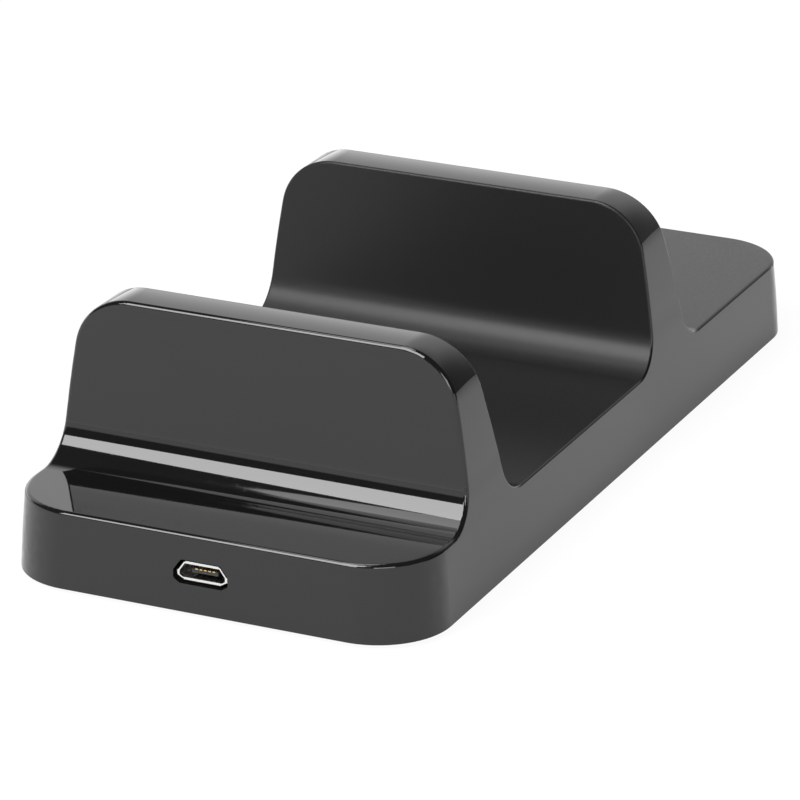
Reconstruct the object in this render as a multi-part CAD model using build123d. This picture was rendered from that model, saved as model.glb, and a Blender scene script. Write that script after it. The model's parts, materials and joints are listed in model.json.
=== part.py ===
from build123d import *
import math
import os

os.makedirs("parts", exist_ok=True)

# Frame: X to the right, Y from the front edge to the back, Z up from the table,
# origin under the middle of the base. Levels are heights above the lower edge of the shell.

# Base block: drafted ends, and sides that lean in at the lower edge and bow over the whole height
base_width = 64.0
base_length = 138.6
base_corner = 10.5
end_draft = 2.2
side_draft = 2.4
side_bow = 212.0
step_level = 11.25
trough_level = 11.0
deck_level = 11.4

# Two upright fins, places measured from the front edge at the lower edge of the shell
fin_foot = 18.1
fin_pitch = 64.2
fin_root = 15.45
fin_front_lean = 2.15
fin_rear_lean = 12.6
fin_top = 35.05
fin_corner = 8.5
front_cove = 5.75
rear_cove = 5.5
smooth_angle = 10.0

# Rounding of the three rims: round the step, round the trough and round the deck
step_rim = 0.65
trough_rim = 0.4
deck_rim = 0.45

# Moulded wall, bottom cover and feet
wall = 2.0
cover_thick = 1.8
cover_rim = 1.0
cover_gap = 0.2
cup_radius = 4.2
cup_height = 3.2
cover_screw_inset = 11.0
boss_wall = 1.8
foot_radius = 4.5
foot_thick = 1.6
foot_drop = 0.8
foot_inset_x = 11.0
foot_inset_y = 24.0

# Screws and the room round them
screw_gap = 0.3
cover_screw_shank = 1.25
cover_screw_head = 2.3
cover_head_thick = 1.5
cover_screw_reach = 4.6
board_screw_shank = 1.0
board_screw_head = 1.8
board_head_thick = 0.9
board_screw_reach = 2.6
screw_tip_room = 0.4
cross_slot_width = 0.5
cross_slot_depth = 0.5

# Socket in the front face
socket_x = -0.2
socket_level = 4.6
socket_recess = 0.6
socket_low_width = 6.0
socket_width = 7.22
socket_top_width = 5.4
socket_height = 2.42
socket_low_shoulder = 0.4
socket_high_shoulder = 1.15
socket_depth = 5.2
socket_gap = 0.5
sheet = 0.2
lip_out = 0.14
lip_depth = 0.4
lip_end = 0.2
tongue_width = 3.9
tongue_thick = 0.6
tongue_level = 1.0
tongue_setback = 0.9
socket_block_depth = 1.6
contact_count = 5
contact_pitch = 0.65
contact_width = 0.35
contact_thick = 0.15
contact_foot = 0.8

# Main board and what stands on it
board_thick = 1.2
main_board_width = 33.0
main_board_depth = 16.5
main_board_gap = 0.4
main_board_side_gap = 1.15
main_screw_x = 13.2
main_screw_setback = 3.6
chip_x = 8.5
chip_setback = 8.4
chip_width = 3.9
chip_length = 4.9
chip_thick = 1.5
lead_count = 4
lead_pitch = 1.27
lead_width = 0.45
lead_thick = 0.2
lead_level = 0.75
lead_reach = 1.0
can_setback = 9.6
can_base = 4.3
can_base_thick = 0.8
can_radius = 2.0
can_height = 3.2
block_x = 4.6
block_setback = 12.2
block_width = 1.6
block_length = 3.2
block_thick = 1.6
resistor_x = 12.6
resistor_setback = 9.0
resistor_pitch = 1.9
resistor_count = 2
resistor_length = 1.6
resistor_width = 0.8
resistor_thick = 0.45

# Charging plugs that stand up behind the fins
plug_setback = 12.2
plug_width = 6.85
plug_thick = 1.85
plug_chamfer = 0.7
plug_height = 6.6
plug_block_height = 3.4
plug_plate = 0.45
collar_width = 10.2
collar_depth = 4.8
collar_corner = 1.6
collar_rise = 1.0
collar_gap = 0.2
flange_width = 13.0
flange_depth = 7.4
plug_board_width = 31.0
plug_board_depth = 11.5
plug_board_drop = 3.4
plug_screw_x = 9.6

# Wires from the main board to the plug boards
wire_radius = 0.6
wire_bend = 1.4
wire_room = 0.6
front_wire_x = 1.6
rear_wire_x = 13.5
wire_edge = 1.3

# Places worked out from the sizes above
front = -base_length / 2
fin_feet = (front + fin_foot, front + fin_foot + fin_pitch)
floor_levels = (trough_level, deck_level)
board_top = foot_drop + socket_level
cover_screw_y = base_length / 2 - cover_screw_inset
foot_x = base_width / 2 - foot_inset_x
foot_y = base_length / 2 - foot_inset_y


def rise(level, degrees):
    """Sideways run of a face that leans by some degrees, over a height."""
    return level * math.tan(math.radians(degrees))


def slant(inset, degrees):
    """Sideways distance that moves a leaning face inward by inset."""
    return inset / math.cos(math.radians(degrees))


def fin_front(foot, level, inset=0.0):
    """Y of a fin's front face at a level."""
    return foot + rise(level, fin_front_lean) + slant(inset, fin_front_lean)


def fin_back(foot, level, inset=0.0):
    """Y of a fin's back face at a level."""
    return foot + fin_root - rise(level, fin_rear_lean) - slant(inset, fin_rear_lean)


def end_front(level, inset=0.0):
    """Y of the front face at a level."""
    return front + rise(level, end_draft) + slant(inset, end_draft)


def side_reach(level, inset=0.0):
    """X of the bowed right side at a level."""
    middle_x = base_width / 2 - side_bow * math.cos(math.radians(side_draft))
    middle_z = -side_bow * math.sin(math.radians(side_draft))
    return middle_x + math.sqrt((side_bow - inset) ** 2 - (level - middle_z) ** 2)


socket_front = end_front(socket_level) + socket_recess
main_board_front = end_front(socket_level, wall) + main_board_gap
plug_places = tuple(
    fin_back(foot, level) + plug_setback for foot, level in zip(fin_feet, floor_levels)
)


def boss_radius(shank):
    """Outer radius of the post round a screw."""
    return shank + screw_gap + boss_wall


cover_screw_x = main_board_width / 2 + main_board_side_gap + boss_radius(cover_screw_shank)


def post(x, y, low, high, radius):
    """Upright round post between two heights."""
    return Pos(x, y, low) * Cylinder(radius, high - low, align=(Align.CENTER, Align.CENTER, Align.MIN))


def block(x, y, low, width, depth, height):
    """Upright block on a height, centred on a place."""
    return Pos(x, y, low) * Box(width, depth, height, align=(Align.CENTER, Align.CENTER, Align.MIN))


def mirrored(reach_x, reach_y):
    """Four places, one in each quarter of the base."""
    return [(x, y) for x in (-reach_x, reach_x) for y in (-reach_y, reach_y)]


def front_outline(inset, low, high):
    """Bowed sides seen from the front, between two levels."""
    levels = (low, (low + high) / 2, high)
    right = [(side_reach(level, inset), level) for level in levels]
    left = [(-x, level) for x, level in reversed(right)]
    edges = [
        ThreePointArc(*right),
        Line(right[-1], left[0]),
        ThreePointArc(*left),
        Line(left[-1], right[0]),
    ]
    return Pos(0, 0, foot_drop) * (Plane.XZ * make_face(edges))


def end_outline(inset, low, high):
    """Drafted ends seen from the side, between two levels."""
    ends = [(end_front(level, inset), level) for level in (low, high)]
    others = [(-y, level) for y, level in reversed(ends)]
    return Pos(0, 0, foot_drop) * (Plane.YZ * make_face(Polyline(*ends, *others, close=True)))


def dock_outline(inset, low):
    """Step, fins, trough and deck seen from the side, every surface moved inward by inset."""
    step, trough, deck = (level - inset for level in (step_level, trough_level, deck_level))
    points = [(end_front(low, inset), low), (end_front(step, inset), step)]
    coves = []
    crest = fin_top + wall
    for foot, before, behind in zip(fin_feet, (step, trough), (trough, deck)):
        corner_front = (fin_front(foot, before, inset), before)
        corner_back = (fin_back(foot, behind, inset), behind)
        points.append(corner_front)
        points.append((fin_front(foot, crest, inset), crest))
        points.append((fin_back(foot, crest, inset), crest))
        points.append(corner_back)
        coves.append((corner_front, front_cove + inset))
        coves.append((corner_back, rear_cove + inset))
    points.append((-end_front(deck, inset), deck))
    points.append((-end_front(low, inset), low))
    outline = make_face(Polyline(*points, close=True))
    for corner, radius in coves:
        nearest = outline.vertices().sort_by_distance(Vector(*corner))[0]
        outline = fillet(nearest, radius)
    return Pos(0, 0, foot_drop) * (Plane.YZ * outline)


def rounded_corners(form, inset):
    """Block with the upright edges at its four corners rounded."""
    ends = [edge for edge in form.edges() if abs(edge.center().Y) > base_length / 2 - base_corner]
    upright = [edge for edge in ends if abs(edge.tangent_at(0.5).Z) > 0.5]
    return fillet(upright, base_corner - inset)


def base_block(inset, low, high):
    """Block of the base between two levels, its walls moved inward by inset."""
    across = extrude(end_outline(inset, low, high), base_width, both=True)
    along = extrude(front_outline(inset, low, high), base_length, both=True)
    return rounded_corners(across & along, inset)


def fin_block(inset, low):
    """Bowed block as high as the fins, with rounded upper corners, longer than the base."""
    outline = front_outline(inset, low, fin_top - inset)
    upper = outline.vertices().group_by(Axis.Z)[-1]
    return extrude(fillet(upper, fin_corner - inset), base_length, both=True)


def dock_form(inset, low):
    """Outer form of the dock, or the hollow in it, with the fins' upper corners rounded."""
    across = extrude(dock_outline(inset, low), base_width, both=True)
    return rounded_corners(across & fin_block(inset, low), inset)


def sharp_edges(solid, start, stop):
    """Edges between two Y places, above the lower edge, where two faces meet at an angle."""
    picked = []
    above = solid.edges().filter_by_position(Axis.Z, foot_drop + wall, foot_drop + fin_top)
    for edge in above.filter_by_position(Axis.Y, start, stop):
        middle = edge.position_at(0.5)
        sides = [face.normal_at(middle) for face in solid.faces() if edge in face.edges()]
        if sides[0].get_angle(sides[1]) > smooth_angle:
            picked.append(edge)
    return picked


def rounded_rims(form):
    """Form with its three rims rounded, each up to the middle of a fin's top."""
    crests = [(fin_front(foot, fin_top) + fin_back(foot, fin_top)) / 2 for foot in fin_feet]
    rims = zip((front, *crests), (*crests, -front), (step_rim, trough_rim, deck_rim))
    for start, stop, radius in rims:
        form = fillet(sharp_edges(form, start, stop), radius)
    return form


def socket_outline():
    """Outline of the socket's mouth: narrow on top, its widest part between two shoulders."""
    half = [
        (socket_low_width / 2, 0),
        (socket_width / 2, socket_low_shoulder),
        (socket_width / 2, socket_high_shoulder),
        (socket_top_width / 2, socket_height),
    ]
    other = [(-x, z) for x, z in reversed(half)]
    return make_face(Polyline(*half, *other, close=True))


def along_back(outline, start, depth):
    """Solid of an upright outline at the socket, from a Y place toward the back."""
    plane = Plane(origin=(socket_x, start, board_top), x_dir=(1, 0, 0), z_dir=(0, -1, 0))
    return extrude(plane * outline, -depth)


def plug_outline():
    """Outline of a plug seen from above: a flat bar with two cut corners at the front."""
    half_width = plug_width / 2
    half_thick = plug_thick / 2
    return make_face(
        Polyline(
            (-half_width, half_thick),
            (-half_width, plug_chamfer - half_thick),
            (plug_chamfer - half_width, -half_thick),
            (half_width - plug_chamfer, -half_thick),
            (half_width, plug_chamfer - half_thick),
            (half_width, half_thick),
            close=True,
        )
    )


def contact_places():
    """X of each contact from the middle of its row."""
    return [(i - (contact_count - 1) / 2) * contact_pitch for i in range(contact_count)]


def screw(x, y, seat, shank, head, head_thick, reach):
    """Screw that points up: its head lies under the seat, with a cross slot from below."""
    solid = post(x, y, seat - head_thick, seat, head)
    solid += post(x, y, seat, seat + reach, shank)
    for width, depth in ((cross_slot_width, head), (head, cross_slot_width)):
        solid -= block(x, y, seat - head_thick, width, depth, cross_slot_depth)
    return solid


def main_screw_places():
    """Places of the two screws of the main board."""
    return [(side * main_screw_x, main_board_front + main_screw_setback) for side in (-1, 1)]


def plug_screw_places(plug_y):
    """Places of the two screws of one plug board."""
    return [(side * plug_screw_x, plug_y) for side in (-1, 1)]


def floor_under(level):
    """Height of the underside of a floor."""
    return foot_drop + level - wall


def plug_board_top(level):
    """Height of the upper face of the plug board under a floor."""
    return floor_under(level) - plug_board_drop


def boss(x, y, low, level, shank, reach):
    """Post that hangs from a floor, with a blind hole for a screw."""
    solid = post(x, y, low, floor_under(level) + wall / 2, boss_radius(shank))
    return solid, post(x, y, low, low + reach + screw_tip_room, shank + screw_gap)


def upper_shell():
    """One moulding: base, step, two hollow fins, trough and deck, with its bosses and openings."""
    shell = rounded_rims(dock_form(0.0, 0.0))
    shell -= dock_form(wall, -wall)
    shell -= base_block(cover_rim, -wall, cover_thick)
    bosses = []
    for x, y in mirrored(cover_screw_x, cover_screw_y):
        level = step_level if y < 0 else deck_level
        bosses.append(boss(x, y, foot_drop + cup_height, level, cover_screw_shank, cover_thread()))
    for x, y in main_screw_places():
        bosses.append(boss(x, y, board_top, step_level, board_screw_shank, board_screw_reach))
    for level, plug_y in zip(floor_levels, plug_places):
        for x, y in plug_screw_places(plug_y):
            low = plug_board_top(level)
            bosses.append(boss(x, y, low, level, board_screw_shank, board_screw_reach))
    for solid, hole in bosses:
        shell += solid
    for solid, hole in bosses:
        shell -= hole
    slot = offset(socket_outline(), socket_gap, kind=Kind.ARC)
    shell -= along_back(slot, front - wall, 3 * wall)
    for level, plug_y in zip(floor_levels, plug_places):
        opening = RectangleRounded(
            collar_width + 2 * collar_gap, collar_depth + 2 * collar_gap, collar_corner + collar_gap
        )
        shell -= Pos(0, plug_y, floor_under(level) - wall) * extrude(opening, 3 * wall)
    return shell


def cover_thread():
    """Length of a cover screw inside its boss."""
    return cover_screw_reach - (cup_height - cover_head_thick)


def bottom_cover():
    """Plate inside the lower edge of the shell, with screw cups and pockets for the feet."""
    plate = base_block(cover_rim + cover_gap, 0.0, cover_thick)
    for x, y in mirrored(cover_screw_x, cover_screw_y):
        plate += post(x, y, foot_drop, foot_drop + cup_height, cup_radius)
    for x, y in mirrored(cover_screw_x, cover_screw_y):
        plate -= post(x, y, foot_drop, foot_drop + cover_head_thick, cover_screw_head + screw_gap)
        plate -= post(x, y, foot_drop, foot_drop + cup_height, cover_screw_shank + screw_gap)
    for x, y in mirrored(foot_x, foot_y):
        plate -= post(x, y, foot_drop, foot_thick, foot_radius + screw_gap)
    return plate


def cover_screws():
    """Four screws that hold the cover to the shell."""
    seat = foot_drop + cover_head_thick
    places = mirrored(cover_screw_x, cover_screw_y)
    return [
        screw(x, y, seat, cover_screw_shank, cover_screw_head, cover_head_thick, cover_screw_reach)
        for x, y in places
    ]


def feet():
    """Four round rubber pads, by name."""
    named = {}
    for x, y in mirrored(foot_x, foot_y):
        side = "left" if x < 0 else "right"
        end = "front" if y < 0 else "rear"
        pad = post(x, y, 0.0, foot_thick, foot_radius)
        named[f"foot_{end}_{side}"] = fillet(pad.edges().group_by(Axis.Z)[0], foot_drop / 2)
    return named


def board_screw(x, y, top):
    """Screw from below through a board whose upper face is at a height."""
    return screw(
        x, y, top - board_thick, board_screw_shank, board_screw_head, board_head_thick,
        board_thick + board_screw_reach,
    )


def board(width, depth, y, top, holes):
    """Board with round holes, its upper face at a height."""
    plate = block(0, y, top - board_thick, width, depth, board_thick)
    for x, hole_y in holes:
        plate -= post(x, hole_y, top - board_thick, top, board_screw_shank + screw_gap)
    return plate


def main_board():
    """Board behind the front face that carries the socket and the charging parts."""
    middle = main_board_front + main_board_depth / 2
    return board(main_board_width, main_board_depth, middle, board_top, main_screw_places())


def socket_lips():
    """Short lips turned out at the mouth of the socket: above, below and on both sides."""
    y = socket_front + lip_depth / 2
    upper = (socket_x, board_top + socket_height, socket_top_width - 2 * lip_end, lip_out)
    lower = (socket_x, board_top - lip_out, socket_low_width - 2 * lip_end, lip_out)
    lips = [upper, lower]
    for side in (-1, 1):
        x = socket_x + side * (socket_width + lip_out) / 2
        lips.append((x, board_top + socket_low_shoulder, lip_out, socket_high_shoulder - socket_low_shoulder))
    return [block(x, y, low, width, lip_depth, height) for x, low, width, height in lips]


def socket_shell():
    """Folded steel mouth of the socket with its lips."""
    outer = socket_outline()
    inner = offset(outer, -sheet, kind=Kind.INTERSECTION)
    shell = along_back(outer - inner, socket_front, socket_depth)
    for lip in socket_lips():
        shell += lip
    return shell


def tongue_top():
    """Height of the upper face of the socket's tongue."""
    return board_top + tongue_level + tongue_thick / 2


def socket_contacts():
    """Five strips along the tongue, down behind the socket and out on the board."""
    start = socket_front + tongue_setback
    back = socket_front + socket_depth
    top = tongue_top() - board_top
    side = [
        (start, top),
        (back + contact_thick, top),
        (back + contact_thick, contact_thick),
        (back + contact_foot, contact_thick),
        (back + contact_foot, 0),
        (back, 0),
        (back, top - contact_thick),
        (start, top - contact_thick),
    ]
    outline = Plane.YZ * make_face(Polyline(*side, close=True))
    strips = []
    for x in contact_places():
        strip = extrude(outline, contact_width / 2, both=True)
        strips.append(Pos(socket_x + x, 0, board_top) * strip)
    return strips


def socket_body():
    """Moulded block at the back of the socket with the tongue that carries the contacts."""
    inner = offset(socket_outline(), -sheet, kind=Kind.INTERSECTION)
    body = along_back(inner, socket_front + socket_depth - socket_block_depth, socket_block_depth)
    reach = socket_depth - tongue_setback
    body += block(
        socket_x, socket_front + tongue_setback + reach / 2, tongue_top() - tongue_thick,
        tongue_width, reach, tongue_thick,
    )
    for strip in socket_contacts():
        body -= strip
    return body


def chip_places():
    """Places of the two charging chips."""
    return [(side * chip_x, main_board_front + chip_setback) for side in (-1, 1)]


def charge_chip(x, y):
    """Moulded body of one chip, clear of the board."""
    return block(x, y, board_top + lead_thick, chip_width, chip_length, chip_thick)


def chip_leads():
    """Bent leads along both sides of both chips."""
    half = chip_width / 2
    knee = lead_reach / 2
    path = [
        (half, lead_level + lead_thick),
        (half + knee, lead_level + lead_thick),
        (half + knee, lead_thick),
        (half + lead_reach, lead_thick),
        (half + lead_reach, 0),
        (half + knee - lead_thick, 0),
        (half + knee - lead_thick, lead_level),
        (half, lead_level),
    ]
    outline = Plane.XZ * make_face(Polyline(*path, close=True))
    right = extrude(outline, lead_width / 2, both=True)
    left = mirror(right, about=Plane.YZ)
    leads = []
    for x, y in chip_places():
        for i in range(lead_count):
            along = (i - (lead_count - 1) / 2) * lead_pitch
            leads.append(Pos(x, y + along, board_top) * right)
            leads.append(Pos(x, y + along, board_top) * left)
    return leads


def can_capacitor():
    """Round can on a square base."""
    y = main_board_front + can_setback
    base = block(socket_x, y, board_top, can_base, can_base, can_base_thick)
    return base + post(socket_x, y, board_top + can_base_thick, board_top + can_height, can_radius)


def block_capacitors():
    """Two small blocks, one for each plug."""
    y = main_board_front + block_setback
    return [block(side * block_x, y, board_top, block_width, block_length, block_thick) for side in (-1, 1)]


def resistors():
    """Two short rows of flat resistors at the sides of the board."""
    pieces = []
    for side in (-1, 1):
        for i in range(resistor_count):
            y = main_board_front + resistor_setback + i * resistor_pitch
            pieces.append(
                block(side * resistor_x, y, board_top, resistor_length, resistor_width, resistor_thick)
            )
    return pieces


def plug_tip(level):
    """Height of the tip of a plug above a floor."""
    return foot_drop + level + plug_height


def plug_shell(level, plug_y):
    """Folded steel sleeve of one plug, from its board to its tip."""
    outer = plug_outline()
    inner = offset(outer, -sheet, kind=Kind.INTERSECTION)
    low = plug_board_top(level)
    return Pos(0, plug_y, low) * extrude(outer - inner, plug_tip(level) - low)


def plug_contacts(level, plug_y):
    """Five upright strips on the face of the insert."""
    low = plug_board_top(level)
    y = plug_y + plug_thick / 2 - sheet - plug_plate - contact_thick / 2
    height = plug_tip(level) - sheet - low
    return [block(x, y, low, contact_width, contact_thick, height) for x in contact_places()]


def plug_body(level, plug_y):
    """Moulded insert in the sleeve: a block below, a plate up the back that carries the contacts."""
    low = plug_board_top(level)
    inner = offset(plug_outline(), -sheet, kind=Kind.INTERSECTION)
    body = Pos(0, plug_y, low) * extrude(inner, plug_block_height)
    y = plug_y + plug_thick / 2 - sheet - plug_plate / 2
    body += block(0, y, low, plug_width - 2 * sheet, plug_plate, plug_tip(level) - sheet - low)
    for strip in plug_contacts(level, plug_y):
        body -= strip
    return body


def plug_carrier(level, plug_y):
    """Moulded collar in the floor opening, with a flange that stands on the plug board."""
    low = plug_board_top(level)
    flange = block(0, plug_y, low, flange_width, flange_depth, floor_under(level) - low)
    collar = RectangleRounded(collar_width, collar_depth, collar_corner)
    rise_to = foot_drop + level + collar_rise - floor_under(level)
    carrier = flange + Pos(0, plug_y, floor_under(level)) * extrude(collar, rise_to)
    return carrier - Pos(0, plug_y, low) * extrude(plug_outline(), plug_tip(level) - low)


def plug_board(level, plug_y):
    """Small board that holds one plug up against its floor."""
    return board(plug_board_width, plug_board_depth, plug_y, plug_board_top(level), plug_screw_places(plug_y))


def wire(x, start, start_height, end, end_height):
    """Wire that rises from one board, runs to the back under the floors and comes down on another."""
    run = floor_under(min(floor_levels)) - wire_room - wire_radius
    bend = min(wire_bend, run - start_height - wire_room, run - end_height - wire_room)
    path = FilletPolyline(
        (x, start, start_height), (x, start, run), (x, end, run), (x, end, end_height), radius=bend
    )
    profile = Plane(origin=path @ 0, z_dir=path % 0) * Circle(wire_radius)
    return sweep(profile, path=path)


def wires():
    """One pair of wires to each plug board, by name."""
    named = {}
    start = main_board_front + main_board_depth - wire_edge
    reaches = (front_wire_x, rear_wire_x)
    for end, level, plug_y, reach in zip(("front", "rear"), floor_levels, plug_places, reaches):
        stop = plug_y - plug_board_depth / 2 + wire_edge
        for colour, side in (("red", -1), ("black", 1)):
            named[f"wire_{end}_{colour}"] = wire(
                side * reach, start, board_top, stop, plug_board_top(level)
            )
    return named


# Every piece by the name of its node
nodes = {
    "upper_shell": upper_shell(),
    "bottom_cover": bottom_cover(),
    "cover_screws": cover_screws(),
    "main_board": main_board(),
    "board_screws": [board_screw(x, y, board_top) for x, y in main_screw_places()],
    "socket_shell": socket_shell(),
    "socket_body": socket_body(),
    "socket_contacts": socket_contacts(),
    "chip_leads": chip_leads(),
    "can_capacitor": can_capacitor(),
    "block_capacitors": block_capacitors(),
    "resistors": resistors(),
}
nodes.update(feet())
nodes.update(wires())
for chip_side, chip_place in zip(("left", "right"), chip_places()):
    nodes[f"charge_chip_{chip_side}"] = charge_chip(*chip_place)
plug_screws = []
for plug_end, floor_level, place in zip(("front", "rear"), floor_levels, plug_places):
    nodes[f"plug_shell_{plug_end}"] = plug_shell(floor_level, place)
    nodes[f"plug_body_{plug_end}"] = plug_body(floor_level, place)
    nodes[f"plug_contacts_{plug_end}"] = plug_contacts(floor_level, place)
    nodes[f"plug_carrier_{plug_end}"] = plug_carrier(floor_level, place)
    nodes[f"plug_board_{plug_end}"] = plug_board(floor_level, place)
    for screw_x, screw_y in plug_screw_places(place):
        plug_screws.append(board_screw(screw_x, screw_y, plug_board_top(floor_level)))
nodes["plug_screws"] = plug_screws

for name, shape in nodes.items():
    piece = Compound(children=shape) if isinstance(shape, list) else shape
    export_step(piece, f"parts/{name}.step")
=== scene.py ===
import json
import math

import bpy
from mathutils import Matrix, Vector


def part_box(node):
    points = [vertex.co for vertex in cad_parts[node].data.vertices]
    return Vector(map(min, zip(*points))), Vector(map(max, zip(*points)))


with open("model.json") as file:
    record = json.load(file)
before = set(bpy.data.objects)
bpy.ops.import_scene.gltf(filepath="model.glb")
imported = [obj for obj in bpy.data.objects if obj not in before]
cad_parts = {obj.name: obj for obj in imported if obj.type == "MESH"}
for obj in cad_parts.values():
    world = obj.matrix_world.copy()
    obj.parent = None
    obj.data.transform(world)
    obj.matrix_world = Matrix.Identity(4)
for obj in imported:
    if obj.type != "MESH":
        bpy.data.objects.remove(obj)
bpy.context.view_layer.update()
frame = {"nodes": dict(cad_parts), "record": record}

# Sizes of the dock that its finish follows, in metres
shell_low = 0.0008
fin_feet = (-0.0512, 0.0130)
fin_root = 0.01545
fin_top = shell_low + 0.03505
front_lean = math.tan(math.radians(2.15))
back_lean = math.tan(math.radians(12.6))
trough_floor = shell_low + 0.0110
deck_floor = shell_low + 0.0114
rim = 0.0004
base_half = 0.032
side_bow = 0.212
side_draft = math.radians(2.4)


class Value:
    """A number that changes over a surface. Arithmetic on it adds Math nodes to its tree."""

    def __init__(self, tree, socket):
        self.tree = tree
        self.socket = socket

    def _math(self, operation, first, second=0.0):
        return self.tree.value("ShaderNodeMath", {"operation": operation}, {0: first, 1: second})

    def __add__(self, other):
        return self._math("ADD", self, other)

    __radd__ = __add__

    def __sub__(self, other):
        return self._math("SUBTRACT", self, other)

    def __rsub__(self, other):
        return self._math("SUBTRACT", other, self)

    def __mul__(self, other):
        return self._math("MULTIPLY", self, other)

    __rmul__ = __mul__

    def __pow__(self, power):
        return self._math("POWER", self, power)

    def __mod__(self, step):
        return self._math("FLOORED_MODULO", self, step)

    def __gt__(self, other):
        return self._math("GREATER_THAN", self, other)

    def __lt__(self, other):
        return self._math("LESS_THAN", self, other)

    def __abs__(self):
        return self._math("ABSOLUTE", self)


class Tree:
    """A node tree that is written in code."""

    def __init__(self, tree):
        self.tree = tree
        tree.nodes.clear()

    def add(self, kind, settings=(), sockets=()):
        """A new node: its settings first, then the values or links of its sockets."""
        node = self.tree.nodes.new(kind)
        for name, value in dict(settings).items():
            setattr(node, name, value)
        for name, value in dict(sockets).items():
            key = name.replace("_", " ") if isinstance(name, str) else name
            self.link(value, node.inputs[key])
        return node

    def value(self, kind, settings=(), sockets=(), output=0):
        return Value(self, self.add(kind, settings, sockets).outputs[output])

    def link(self, value, socket):
        if isinstance(value, Value):
            value = value.socket
        if isinstance(value, bpy.types.NodeSocket):
            self.tree.links.new(value, socket)
        elif socket.type == "RGBA" and len(value) == 3:
            socket.default_value = (*value, 1.0)
        else:
            socket.default_value = value

    def axes(self, vector):
        node = self.add("ShaderNodeSeparateXYZ", {}, {0: vector})
        return [Value(self, output) for output in node.outputs]

    def spread(self, value, low, high, to_low, to_high):
        """Maps a value smoothly from one range to another, with its ends held."""
        sockets = {"Value": value, "From_Min": low, "From_Max": high, "To_Min": to_low, "To_Max": to_high}
        return self.value("ShaderNodeMapRange", {"interpolation_type": "SMOOTHSTEP"}, sockets)

    def ray(self, name):
        return self.value("ShaderNodeLightPath", output=name)

    def mixed(self, factor, first, second):
        """A shader between two shaders."""
        sockets = {0: factor, 1: first.outputs[0], 2: second.outputs[0]}
        return self.add("ShaderNodeMixShader", {}, sockets)


class Finish(Tree):
    """The material of one finish, around one Principled shader, placed by Object coordinates."""

    def __init__(self, name, **constants):
        self.material = bpy.data.materials.new(name)
        self.material.use_nodes = True
        super().__init__(self.material.node_tree)
        self.shader = self.add("ShaderNodeBsdfPrincipled", {}, constants)
        self.output = self.add("ShaderNodeOutputMaterial")
        self.show(self.shader)
        self.place = self.add("ShaderNodeTexCoord").outputs["Object"]
        self.x, self.y, self.z = self.axes(self.place)

    def show(self, shader):
        self.link(shader.outputs[0], self.output.inputs["Surface"])

    def feed(self, **sockets):
        """Links what changes over the surface into the shader."""
        for name, value in sockets.items():
            self.link(value, self.shader.inputs[name.replace("_", " ")])

    def noise(self, scale, detail=2.0, roughness=0.5, stretch=(1.0, 1.0, 1.0)):
        place = self.add("ShaderNodeMapping", {}, {"Vector": self.place, "Scale": stretch})
        sockets = {"Vector": place.outputs[0], "Scale": scale, "Detail": detail, "Roughness": roughness}
        return self.value("ShaderNodeTexNoise", {}, sockets, "Fac")

    def cells(self, scale):
        """Distance to the nearest of many scattered points."""
        sockets = {"Vector": self.place, "Scale": scale}
        return self.value("ShaderNodeTexVoronoi", {"feature": "F1"}, sockets, "Distance")

    def tint(self, factor, first, second):
        """A colour between two colours."""
        sockets = {"Factor": factor, 6: first, 7: second}
        return self.add("ShaderNodeMix", {"data_type": "RGBA"}, sockets).outputs[2]

    def relief(self, height, depth, strength=1.0, normal=None):
        """A normal that follows small heights."""
        sockets = {"Height": height, "Distance": depth, "Strength": strength}
        if normal is not None:
            sockets["Normal"] = normal
        return self.add("ShaderNodeBump", {}, sockets).outputs["Normal"]


def side_reach(level):
    """Half width of the shell at a level above its lower edge."""
    drop = level + side_bow * math.sin(side_draft)
    return (side_bow**2 - drop * drop) ** 0.5 + (base_half - side_bow * math.cos(side_draft))


def grained_floors(f):
    """1 between the fins and on the rear deck, 0 on the polished rest of the shell."""
    front_foot, rear_foot = fin_feet
    level = f.z - shell_low
    behind_front_fin = f.y > front_foot + fin_root - rim - back_lean * level
    before_rear_fin = f.y < rear_foot + rim + front_lean * level
    behind_rear_fin = f.y > rear_foot + fin_root - rim - back_lean * level
    trough = behind_front_fin * before_rear_fin * (f.z > trough_floor - rim)
    deck = behind_rear_fin * (f.z > deck_floor - rim)
    return (trough + deck) * (abs(f.x) < side_reach(level) - rim / 2)


def fin_crown(f):
    """Height of the slight crown over the top and round the shoulders of each fin."""
    crown_radius = 0.045
    shoulder_depth = 0.006
    level = f.z - shell_low
    half_thick = 0.5 * (fin_root - (front_lean + back_lean) * level)
    middle = sum(fin_feet) / 2 + front_lean * level + half_thick
    off = abs(f.y - middle) - (fin_feet[1] - fin_feet[0]) / 2
    sag = half_thick * half_thick - off * off
    shoulders = f.spread(f.z, fin_top - shoulder_depth, fin_top, 0.0, 1.0)
    return sag * (sag > 0.0) * shoulders * (0.5 / crown_radius)


def soft_feet(f):
    """Height of the slow blend where the faces of the fins run into their coves."""
    blend_low = 0.0153
    blend_high = 0.0188
    blend_height = 0.00009
    return f.spread(f.z, blend_low, blend_high, blend_height, 0.0)


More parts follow.
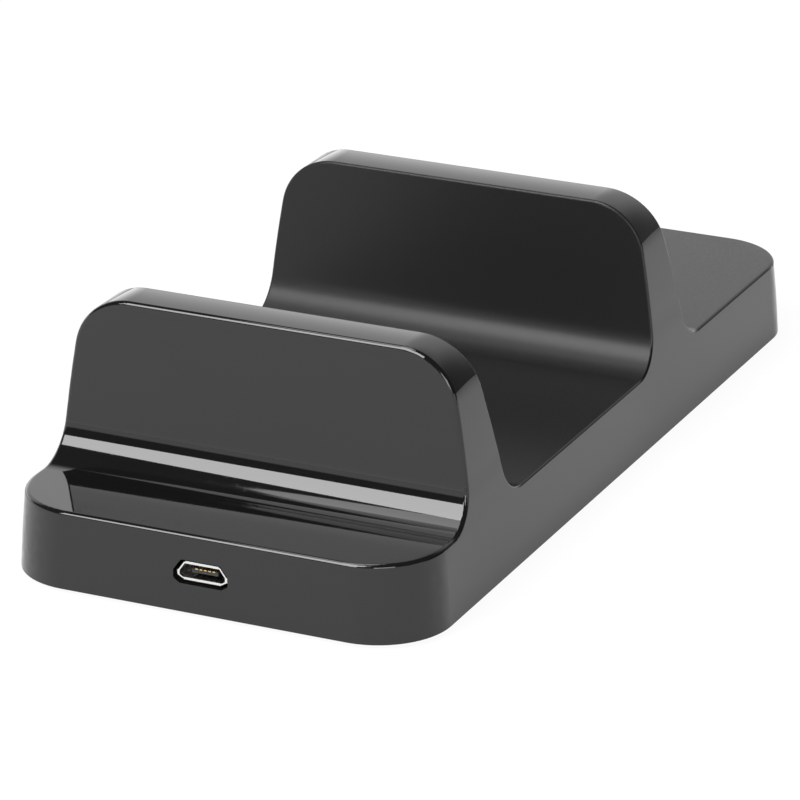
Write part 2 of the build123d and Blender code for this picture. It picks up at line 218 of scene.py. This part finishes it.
def shell_plastic():
    """Black moulding: polished outside, finely grained between the fins and on the rear deck."""
    f = Finish("shell_plastic", IOR=1.55)
    grain = f.noise(5200.0, 3.0, 0.6)
    flow = f.noise(38.0, 2.0, 0.45)
    dust = f.noise(900.0, 2.0, 0.7)
    black = f.tint(flow, (0.0045, 0.0045, 0.0047), (0.0065, 0.0065, 0.0067))
    shaped = f.relief(fin_crown(f) + soft_feet(f), 1.0)
    waved = f.relief(flow, 0.00002, 0.12, shaped)
    f.feed(Base_Color=black, Roughness=f.spread(dust, 0.52, 0.8, 0.04, 0.09), Normal=waved)
    grained = f.add("ShaderNodeBsdfPrincipled", {}, {
        "IOR": 1.36,
        "Base_Color": f.tint(grain, (0.0085, 0.0085, 0.0087), (0.0125, 0.0125, 0.0127)),
        "Roughness": f.spread(grain, 0.3, 0.7, 0.32, 0.42),
        "Normal": f.relief(grain, 0.00001, 0.2, waved),
    })
    f.show(f.mixed(grained_floors(f), f.shader, grained))
    return f.material


def cover_plastic():
    """Black underside with the even, pitted grain of a spark-eroded mould."""
    f = Finish("cover_plastic", IOR=1.5)
    pits = f.cells(3600.0)
    clouds = f.noise(70.0, 3.0, 0.55)
    f.feed(
        Base_Color=f.tint(clouds, (0.0075, 0.0075, 0.0078), (0.0125, 0.0125, 0.0128)),
        Roughness=f.spread(pits, 0.1, 0.8, 0.62, 0.46),
        Normal=f.relief(pits + 0.4 * f.noise(6000.0, 2.0), 0.00003, 0.6),
    )
    return f.material


def pad_rubber():
    """Soft dark rubber, dull, with a fine open skin."""
    f = Finish("pad_rubber", IOR=1.45)
    skin = f.noise(3800.0, 4.0, 0.65)
    bloom = f.spread(f.noise(240.0, 3.0, 0.6), 0.35, 0.7, 0.0, 1.0)
    f.feed(
        Base_Color=f.tint(bloom, (0.018, 0.018, 0.018), (0.034, 0.033, 0.032)),
        Roughness=f.spread(skin, 0.3, 0.7, 0.72, 0.92),
        Normal=f.relief(skin, 0.00003, 0.7),
    )
    return f.material


def screw_steel():
    """Dark plated steel with turned rings about each cover screw."""
    f = Finish("screw_steel", Metallic=1.0)
    head_radius = 0.0023
    rings_per_metre = 9000.0
    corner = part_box("cover_screws")[1]
    across = abs(f.x) - (corner[0] - head_radius)
    along = abs(f.y) - (corner[1] - head_radius)
    reach = (across * across + along * along) ** 0.5
    rings = abs((reach * rings_per_metre) % 1.0 - 0.5)
    stain = f.noise(1200.0, 3.0, 0.6)
    f.feed(
        Base_Color=f.tint(stain, (0.19, 0.19, 0.20), (0.33, 0.33, 0.34)),
        Roughness=f.spread(stain, 0.3, 0.7, 0.26, 0.42),
        Normal=f.relief(rings, 0.00001, 0.4),
    )
    return f.material


def socket_steel():
    """Bright nickel on rolled sheet, with lines along the sheet."""
    f = Finish("socket_steel", Metallic=1.0)
    rolled = f.noise(9000.0, 2.0, 0.6, (1.0, 0.04, 0.04))
    smear = f.noise(900.0, 3.0, 0.6)
    f.feed(
        Base_Color=f.tint(smear, (0.74, 0.73, 0.71), (0.86, 0.85, 0.83)),
        Roughness=f.spread(rolled + 0.4 * smear, 0.4, 1.0, 0.16, 0.3),
        Normal=f.relief(rolled, 0.000004, 0.5),
    )
    return f.material


def insert_plastic():
    """Black filled plastic with short flow streaks."""
    f = Finish("insert_plastic", IOR=1.52)
    streaks = f.noise(2600.0, 3.0, 0.6, (1.0, 0.25, 0.25))
    f.feed(
        Base_Color=f.tint(streaks, (0.008, 0.008, 0.008), (0.017, 0.017, 0.017)),
        Roughness=f.spread(streaks, 0.3, 0.7, 0.34, 0.5),
        Normal=f.relief(streaks, 0.00001, 0.4),
    )
    return f.material


def contact_gold():
    """Thin gold on spring metal, rubbed paler in places."""
    f = Finish("contact_gold", Metallic=1.0)
    rubbed = f.noise(1500.0, 3.0, 0.6, (1.0, 0.3, 0.3))
    f.feed(
        Base_Color=f.tint(f.spread(rubbed, 0.45, 0.75, 0.0, 1.0), (0.86, 0.60, 0.22), (0.92, 0.78, 0.52)),
        Roughness=f.spread(rubbed, 0.3, 0.7, 0.18, 0.34),
        Normal=f.relief(f.noise(7000.0), 0.000003, 0.4),
    )
    return f.material


def board_laminate():
    """Green masked laminate: raised tracks in two directions, bare pads and a weave under the mask."""
    f = Finish("board_laminate", IOR=1.5)
    track_pitch = 0.0011
    track_half = 0.00016
    weave_pitch = 0.0004
    crosswise = abs(f.x % track_pitch - track_pitch / 2) < track_half
    lengthwise = abs(f.y % track_pitch - track_pitch / 2) < track_half
    region = f.noise(260.0, 1.0) > 0.5
    tracks = crosswise * region + lengthwise * (1.0 - region)
    holes = f.cells(620.0) < 0.16
    weave = abs(f.x % weave_pitch - weave_pitch / 2) + abs(f.y % weave_pitch - weave_pitch / 2)
    masked = f.tint(tracks, (0.008, 0.075, 0.028), (0.02, 0.17, 0.06))
    f.feed(
        Base_Color=f.tint(holes, masked, (0.62, 0.55, 0.42)),
        Metallic=holes,
        Roughness=f.spread(f.noise(2400.0, 3.0), 0.3, 0.7, 0.26, 0.4),
        Normal=f.relief(tracks, 0.00002, 0.5, f.relief(weave, 0.01, 0.25)),
    )
    return f.material


def chip_epoxy():
    """Dull moulded epoxy with one round dimple at a corner of each chip."""
    f = Finish("chip_epoxy", IOR=1.5)
    dimple_radius = 0.0003
    dimple_inset = 0.0008
    grains = f.noise(5200.0, 3.0, 0.65)
    dimples = 0.0
    for side in ("left", "right"):
        low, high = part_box(f"charge_chip_{side}")
        across = f.x - (low[0] + dimple_inset)
        along = f.y - (high[1] - dimple_inset)
        dimples = dimples + ((across * across + along * along) ** 0.5 < dimple_radius)
    dull = f.spread(grains, 0.3, 0.7, 0.5, 0.68)
    f.feed(
        Base_Color=f.tint(grains, (0.012, 0.012, 0.013), (0.024, 0.024, 0.025)),
        Roughness=dull * (1.0 - 0.6 * dimples),
        Normal=f.relief(grains - 3.0 * dimples, 0.00001, 0.5),
    )
    return f.material


def lead_tin():
    """Matt tin, slightly frosted."""
    f = Finish("lead_tin", Metallic=1.0)
    frost = f.noise(4200.0, 4.0, 0.65)
    f.feed(
        Base_Color=f.tint(frost, (0.58, 0.58, 0.57), (0.74, 0.74, 0.73)),
        Roughness=f.spread(frost, 0.3, 0.7, 0.3, 0.46),
        Normal=f.relief(frost, 0.000006, 0.5),
    )
    return f.material


def can_aluminium():
    """Drawn aluminium can on a black base, with a dark segment printed on its top."""
    f = Finish("can_aluminium")
    low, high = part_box("can_capacitor")
    base_thick = 0.0008
    segment_inset = 0.0011
    body = f.z > low[2] + base_thick
    segment = (f.x < low[0] + segment_inset) * (f.z > high[2] - rim)
    bare = body * (1.0 - segment)
    drawn = f.noise(5200.0, 2.0, 0.6, (1.0, 1.0, 0.05))
    metal = f.tint(drawn, (0.68, 0.68, 0.69), (0.80, 0.80, 0.81))
    f.feed(
        Base_Color=f.tint(bare, (0.014, 0.014, 0.015), metal),
        Metallic=bare,
        Roughness=f.spread(drawn, 0.3, 0.7, 0.22, 0.36) + 0.2 * (1.0 - bare),
        Normal=f.relief(drawn, 0.000005, 0.4),
    )
    return f.material


def block_ceramic():
    """Tan ceramic block with tinned ends."""
    f = Finish("block_ceramic", IOR=1.6)
    low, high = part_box("block_capacitors")
    end_cap = 0.0006
    ends = (f.y < low[1] + end_cap) + (f.y > high[1] - end_cap)
    clouds = f.noise(1900.0, 3.0, 0.6)
    tan = f.tint(clouds, (0.33, 0.23, 0.13), (0.45, 0.33, 0.20))
    f.feed(
        Base_Color=f.tint(ends, tan, (0.66, 0.66, 0.65)),
        Metallic=ends,
        Roughness=f.spread(clouds, 0.3, 0.7, 0.32, 0.48),
        Normal=f.relief(clouds, 0.000008, 0.4),
    )
    return f.material


def resistor_ceramic():
    """Black glazed film on a small ceramic chip with tinned ends."""
    f = Finish("resistor_ceramic", IOR=1.55)
    length = 0.0016
    end_cap = 0.00032
    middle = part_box("resistors")[1][0] - length / 2
    ends = abs(abs(f.x) - middle) > length / 2 - end_cap
    glaze = f.noise(3000.0, 3.0, 0.6)
    film = f.tint(glaze, (0.010, 0.010, 0.011), (0.022, 0.022, 0.024))
    f.feed(
        Base_Color=f.tint(ends, film, (0.66, 0.66, 0.65)),
        Metallic=ends,
        Roughness=f.spread(glaze, 0.3, 0.7, 0.22, 0.36),
        Normal=f.relief(glaze, 0.000005, 0.4),
    )
    return f.material


def carrier_plastic():
    """Black carrier round each plug, finely grained, a little duller than the floor."""
    f = Finish("carrier_plastic", IOR=1.5)
    grain = f.noise(4800.0, 3.0, 0.6)
    flow = f.noise(420.0, 2.0)
    f.feed(
        Base_Color=f.tint(flow, (0.006, 0.006, 0.006), (0.012, 0.012, 0.012)),
        Roughness=f.spread(grain, 0.3, 0.7, 0.44, 0.6),
        Normal=f.relief(grain, 0.00001, 0.5),
    )
    return f.material


def insulation(name, pale, deep):
    """Drawn insulation of a thin wire, with a soft gloss."""
    f = Finish(name, IOR=1.5)
    drawn = f.noise(3200.0, 2.0, 0.6, (1.0, 0.05, 1.0))
    f.feed(
        Base_Color=f.tint(f.noise(300.0, 2.0), deep, pale),
        Roughness=f.spread(drawn, 0.3, 0.7, 0.3, 0.44),
        Normal=f.relief(drawn, 0.000006, 0.4),
    )
    return f.material


finishes = {
    "shell_plastic": shell_plastic(),
    "cover_plastic": cover_plastic(),
    "pad_rubber": pad_rubber(),
    "screw_steel": screw_steel(),
    "socket_steel": socket_steel(),
    "insert_plastic": insert_plastic(),
    "contact_gold": contact_gold(),
    "board_laminate": board_laminate(),
    "chip_epoxy": chip_epoxy(),
    "lead_tin": lead_tin(),
    "can_aluminium": can_aluminium(),
    "block_ceramic": block_ceramic(),
    "resistor_ceramic": resistor_ceramic(),
    "carrier_plastic": carrier_plastic(),
    "red_insulation": insulation("red_insulation", (0.46, 0.02, 0.018), (0.34, 0.012, 0.012)),
    "black_insulation": insulation("black_insulation", (0.02, 0.02, 0.02), (0.012, 0.012, 0.012)),
}

for part in frame["record"]["subparts"]:
    mesh = frame["nodes"][part["node"]].data
    mesh.materials.clear()
    mesh.materials.append(finishes[part["material_slot"]])


def soften(obj):
    """Runs the shading of a moulding across the lines where its flat and curved faces meet."""
    weld = obj.modifiers.new("joined_faces", "WELD")
    weld.merge_threshold = 0.000001
    sharp = obj.modifiers.new("sharp_edges", "EDGE_SPLIT")
    sharp.split_angle = math.radians(40.0)
    even = obj.modifiers.new("even_normals", "WEIGHTED_NORMAL")
    even.keep_sharp = False


for node in ("upper_shell", "bottom_cover"):
    soften(frame["nodes"][node])


def table():
    """Wide white table that keeps a faint shadow."""
    reach = 3.0
    corners = [(-reach, -reach, 0), (reach, -reach, 0), (reach, reach, 0), (-reach, reach, 0)]
    mesh = bpy.data.meshes.new("table")
    mesh.from_pydata(corners, [], [range(len(corners))])
    material = bpy.data.materials.new("table_white")
    material.use_nodes = True
    tree = Tree(material.node_tree)
    paper = tree.add("ShaderNodeBsdfDiffuse", {}, {"Color": (0.8, 0.8, 0.8)})
    glow = tree.add("ShaderNodeEmission", {}, {"Strength": 1.03})
    seen = 0.92 * tree.ray("Is Camera Ray")
    mirrored = 0.55 * (tree.ray("Is Glossy Ray") + tree.ray("Is Transmission Ray"))
    surface = tree.mixed(seen + mirrored, paper, glow)
    tree.add("ShaderNodeOutputMaterial", {}, {"Surface": surface.outputs[0]})
    mesh.materials.append(material)
    obj = bpy.data.objects.new("table", mesh)
    bpy.context.scene.collection.objects.link(obj)


def room():
    """Dim room: a bright wall behind on the left, a low pale screen in front. The camera sees white."""
    world = bpy.data.worlds.new("room")
    world.use_nodes = True
    bpy.context.scene.world = world
    tree = Tree(world.node_tree)
    x, y, z = tree.axes(tree.add("ShaderNodeTexCoord").outputs["Generated"])
    wall_level = tree.spread(z, 0.05, 0.45, 1.85, 1.05) * tree.spread(x, -0.46, -0.28, 1.14, 0.92)
    wall_edges = tree.spread(z, 0.54, 0.75, 1.0, 0.0) * tree.spread(x, -0.05, 0.62, 1.0, 0.0)
    wall = wall_level * wall_edges * tree.spread(y, 0.0, 0.3, 0.0, 1.0)
    screen = tree.spread(z, 0.17, 0.2, 1.0, 0.0) * tree.spread(y, 0.0, 0.3, 1.0, 0.0)
    level = 0.06 + wall + screen
    dim = tree.add("ShaderNodeBackground", {}, {"Color": (1.0, 1.0, 1.0), "Strength": level})
    white = tree.add("ShaderNodeBackground", {}, {"Color": (1.0, 1.0, 1.0)})
    surface = tree.mixed(tree.ray("Is Camera Ray"), dim, white)
    tree.add("ShaderNodeOutputWorld", {}, {"Surface": surface.outputs[0]})


def around(turn, lift, reach):
    """A place round the dock: turn from the front toward the left, lift above the table, in degrees."""
    turn, lift = math.radians(turn), math.radians(lift)
    return Vector((
        -math.sin(turn) * math.cos(lift) * reach,
        -math.cos(turn) * math.cos(lift) * reach,
        math.sin(lift) * reach,
    ))


def lamp(name, shape, place, aim, size, level, roll=0.0):
    """Soft lamp at a place, aimed at a point, with the level of its face."""
    width, height = size
    data = bpy.data.lights.new(name, "AREA")
    data.shape = shape
    data.size = width
    data.size_y = height
    data.energy = level * math.pi * width * height
    obj = bpy.data.objects.new(name, data)
    turn = (place - aim).to_track_quat("Z", "Y").to_matrix().to_4x4()
    obj.matrix_world = Matrix.Translation(place) @ turn @ Matrix.Rotation(math.radians(roll), 4, "Z")
    bpy.context.scene.collection.objects.link(obj)


def lamps():
    """Key lamp in front on the left, a long lamp overhead and a low lamp in front on the right."""
    dock = Vector((0.0, -0.055, 0.015))
    overhead = Vector((-0.214, -0.06, 0.9))
    below = Vector((-0.214, -0.06, 0.0))
    lamp("key", "RECTANGLE", dock + around(20, 45, 1.0), dock, (0.64, 0.72), 9.2, roll=-9.0)
    lamp("overhead", "ELLIPSE", overhead, below, (0.4, 0.9), 2.7)
    lamp("low", "RECTANGLE", dock + around(-38, 20, 1.0), dock, (0.5, 0.3), 5.0)


def camera():
    """Long lens from the front right, above the table, turned a little on its axis."""
    place = Vector((0.29537, -0.62905, 0.28279))
    aim = Vector((-0.00351, 0.00066, 0.00597))
    roll = math.radians(-0.447)
    data = bpy.data.cameras.new("camera")
    data.sensor_width = 36.0
    data.lens = 231.996
    data.clip_end = 10.0
    obj = bpy.data.objects.new("camera", data)
    turn = (place - aim).to_track_quat("Z", "Y").to_matrix().to_4x4()
    obj.matrix_world = Matrix.Translation(place) @ turn @ Matrix.Rotation(roll, 4, "Z")
    bpy.context.scene.collection.objects.link(obj)
    bpy.context.scene.camera = obj


table()
room()
lamps()
camera()
bpy.context.scene.view_settings.view_transform = "Standard"
